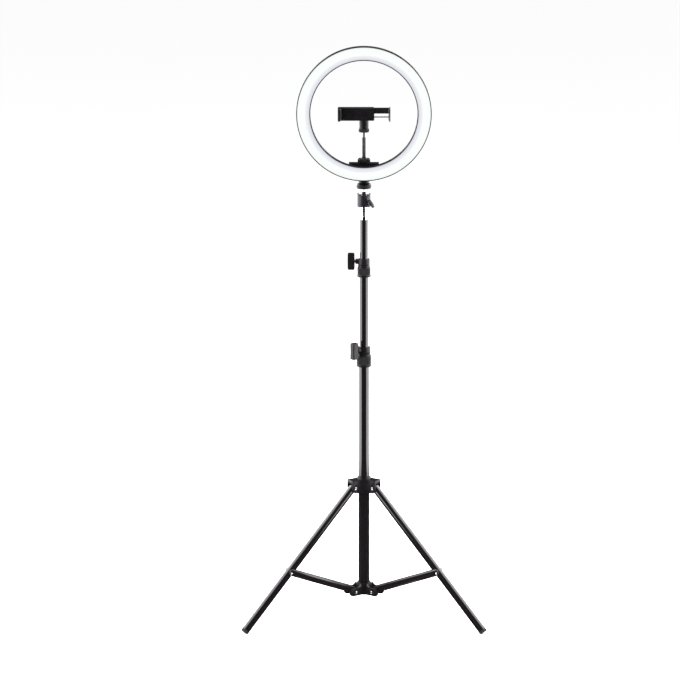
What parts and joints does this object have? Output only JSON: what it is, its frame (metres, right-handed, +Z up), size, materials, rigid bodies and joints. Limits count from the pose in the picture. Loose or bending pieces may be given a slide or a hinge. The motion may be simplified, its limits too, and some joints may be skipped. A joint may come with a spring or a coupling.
{
  "type": "ring light",
  "caption": "Dimmable ring lamp on a ball head and telescoping column with a folding tripod base; a spring phone clamp stands inside the ring.",
  "frame": {"origin": "on the floor, at the centre of the rectangle that the three feet reach; the column's axis is at y = -0.0665 m", "axes": "+Z up along the column; the lamp shines towards -Y; +X is to the right for someone facing the lamp's front"},
  "size_m": [0.4794, 0.4174, 1.134],
  "materials": {
    "gloss_black_paint": "gloss black paint on steel tube",
    "black_abs": "satin moulded black ABS",
    "black_die_cast": "black painted die casting, satin",
    "chrome": "bright chrome plate",
    "nickel_rivet": "nickel-plated steel rivet",
    "zinc_steel": "zinc-plated steel",
    "black_rubber": "matt black rubber",
    "nylon": "natural nylon",
    "opal_diffuser": "opal acrylic, lit from behind",
    "white_board": "white solder mask"
  },
  "bodies": {
    "stand_base": {"lower_tube": "gloss_black_paint", "lower_hub": "black_abs", "column_plug": "nylon", "lower_collar": "black_abs", "stay_pin_left": "nickel_rivet", "stay_pin_right": "nickel_rivet", "stay_pin_back": "nickel_rivet"},
    "leg_hub": {"leg_hub": "black_abs", "leg_pin_left": "nickel_rivet", "leg_pin_right": "nickel_rivet", "leg_pin_back": "nickel_rivet"},
    "hub_lock": {"hub_lock_knob": "black_abs", "hub_lock_screw": "zinc_steel"},
    "leg_left": {"leg_left": "gloss_black_paint", "foot_left": "black_rubber"},
    "stay_left": {"stay_left": "gloss_black_paint", "stay_rivet_left_front": "nickel_rivet", "stay_rivet_left_rear": "nickel_rivet"},
    "leg_right": {"leg_right": "gloss_black_paint", "foot_right": "black_rubber"},
    "stay_right": {"stay_right": "gloss_black_paint", "stay_rivet_right_front": "nickel_rivet", "stay_rivet_right_rear": "nickel_rivet"},
    "leg_back": {"leg_back": "gloss_black_paint", "foot_back": "black_rubber"},
    "stay_back": {"stay_back": "gloss_black_paint", "stay_rivet_back_front": "nickel_rivet", "stay_rivet_back_rear": "nickel_rivet"},
    "lower_knob": {"lower_knob": "black_abs", "lower_knob_screw": "zinc_steel"},
    "middle_section": {"middle_tube": "gloss_black_paint", "middle_plug": "nylon", "upper_collar": "black_abs"},
    "upper_knob": {"upper_knob": "black_abs", "upper_knob_screw": "zinc_steel"},
    "top_section": {"top_tube": "gloss_black_paint", "top_plug": "nylon", "spigot": "chrome"},
    "ball_head": {"ball_cup": "black_die_cast"},
    "lever": {"ball_lever": "black_die_cast", "ball_lever_screw": "zinc_steel"},
    "ball_seat": {"ball_seat": "nylon"},
    "ring": {"ball_stem": "chrome", "rear_housing": "black_abs", "diffuser": "opal_diffuser", "led_board": "white_board", "cable_grommet": "black_rubber", "mount_block": "black_abs"},
    "lock_disc": {"lock_disc": "black_abs"},
    "holder_post": {"holder_foot": "black_abs", "holder_post": "zinc_steel"},
    "clamp_seat": {"clamp_seat": "nylon"},
    "phone_clamp": {"clamp_back": "black_abs", "ball_nut": "black_abs", "fixed_jaw_pad": "black_rubber", "return_spring": "zinc_steel"},
    "sliding_jaw": {"sliding_jaw": "black_abs", "sliding_jaw_pad": "black_rubber", "guide_rod": "zinc_steel"}
  },
  "joints": [
    {"name": "hub_slide", "type": "slide", "parent": "stand_base", "child": "leg_hub", "axis": [0, 0, 1], "range_m": [0, 0.1557]},
    {"name": "leg_left_fold", "type": "hinge", "parent": "leg_hub", "child": "leg_left", "pos_m": [-0.02165, -0.07899, 0.26249], "axis": [0.5, -0.866, 0], "range_deg": [0, 43.31]},
    {"name": "stay_left_fold", "type": "hinge", "parent": "stand_base", "child": "stay_left", "pos_m": [-0.02165, -0.07899, 0.0515], "axis": [-0.5, 0.866, 0], "range_deg": [0, 68.36]},
    {"name": "leg_right_fold", "type": "hinge", "parent": "leg_hub", "child": "leg_right", "pos_m": [0.02165, -0.07899, 0.26249], "axis": [0.5, 0.866, 0], "range_deg": [0, 43.31]},
    {"name": "stay_right_fold", "type": "hinge", "parent": "stand_base", "child": "stay_right", "pos_m": [0.02165, -0.07899, 0.0515], "axis": [-0.5, -0.866, 0], "range_deg": [0, 68.36]},
    {"name": "leg_back_fold", "type": "hinge", "parent": "leg_hub", "child": "leg_back", "pos_m": [0, -0.04149, 0.26249], "axis": [-1, 0, 0], "range_deg": [0, 43.31]},
    {"name": "stay_back_fold", "type": "hinge", "parent": "stand_base", "child": "stay_back", "pos_m": [0, -0.04149, 0.0515], "axis": [1, 0, 0], "range_deg": [0, 68.36]},
    {"name": "hub_lock_turn", "type": "hinge", "parent": "leg_hub", "child": "hub_lock", "pos_m": [0, -0.06649, 0.25949], "axis": [0.866, 0.5, 0], "range_deg": [0, 360]},
    {"name": "lower_knob_turn", "type": "hinge", "parent": "stand_base", "child": "lower_knob", "pos_m": [0, -0.06649, 0.538], "axis": [-0.7071, -0.7071, 0], "range_deg": [0, 360]},
    {"name": "middle_slide", "type": "slide", "parent": "stand_base", "child": "middle_section", "axis": [0, 0, 1], "range_m": [-0.135, 0.26]},
    {"name": "upper_knob_turn", "type": "hinge", "parent": "middle_section", "child": "upper_knob", "pos_m": [0, -0.06649, 0.713], "axis": [-1, 0, 0], "range_deg": [0, 360]},
    {"name": "top_slide", "type": "slide", "parent": "middle_section", "child": "top_section", "axis": [0, 0, 1], "range_m": [-0.074, 0.32]},
    {"name": "head_pan", "type": "hinge", "parent": "top_section", "child": "ball_head", "pos_m": [0, -0.06649, 0.8208], "axis": [0, 0, 1], "continuous": true},
    {"name": "lever_turn", "type": "hinge", "parent": "ball_head", "child": "lever", "pos_m": [0, -0.06649, 0.829], "axis": [0.6428, -0.766, 0], "range_deg": [0, 270]},
    {"name": "ball_lean", "type": "hinge", "parent": "ball_head", "child": "ball_seat", "pos_m": [0, -0.06649, 0.8385], "axis": [0, 1, 0], "range_deg": [-25, 25]},
    {"name": "ball_tilt", "type": "hinge", "parent": "ball_seat", "child": "ring", "pos_m": [0, -0.06649, 0.8385], "axis": [1, 0, 0], "range_deg": [-25, 25]},
    {"name": "lock_disc_turn", "type": "hinge", "parent": "ring", "child": "lock_disc", "pos_m": [0, -0.06649, 0.861], "axis": [0, 0, 1], "continuous": true},
    {"name": "holder_swivel", "type": "hinge", "parent": "ring", "child": "holder_post", "pos_m": [0, -0.05749, 0.912], "axis": [0, 0, 1], "continuous": true},
    {"name": "clamp_lean", "type": "hinge", "parent": "holder_post", "child": "clamp_seat", "pos_m": [0, -0.05749, 0.972], "axis": [0, 1, 0], "range_deg": [-18, 18]},
    {"name": "clamp_tilt", "type": "hinge", "parent": "clamp_seat", "child": "phone_clamp", "pos_m": [0, -0.05749, 0.972], "axis": [1, 0, 0], "range_deg": [-18, 18]},
    {"name": "jaw_slide", "type": "slide", "parent": "phone_clamp", "child": "sliding_jaw", "axis": [1, 0, 0], "range_m": [-0.028, 0.004], "stiffness_N_per_m": 120}
  ],
  "couplings": [
    {"joint": "leg_left_fold", "follows": "hub_slide", "rad_per_m": 4.8539},
    {"joint": "stay_left_fold", "follows": "hub_slide", "rad_per_m": 7.6622},
    {"joint": "leg_right_fold", "follows": "hub_slide", "rad_per_m": 4.8539},
    {"joint": "stay_right_fold", "follows": "hub_slide", "rad_per_m": 7.6622},
    {"joint": "leg_back_fold", "follows": "hub_slide", "rad_per_m": 4.8539},
    {"joint": "stay_back_fold", "follows": "hub_slide", "rad_per_m": 7.6622}
  ]
}
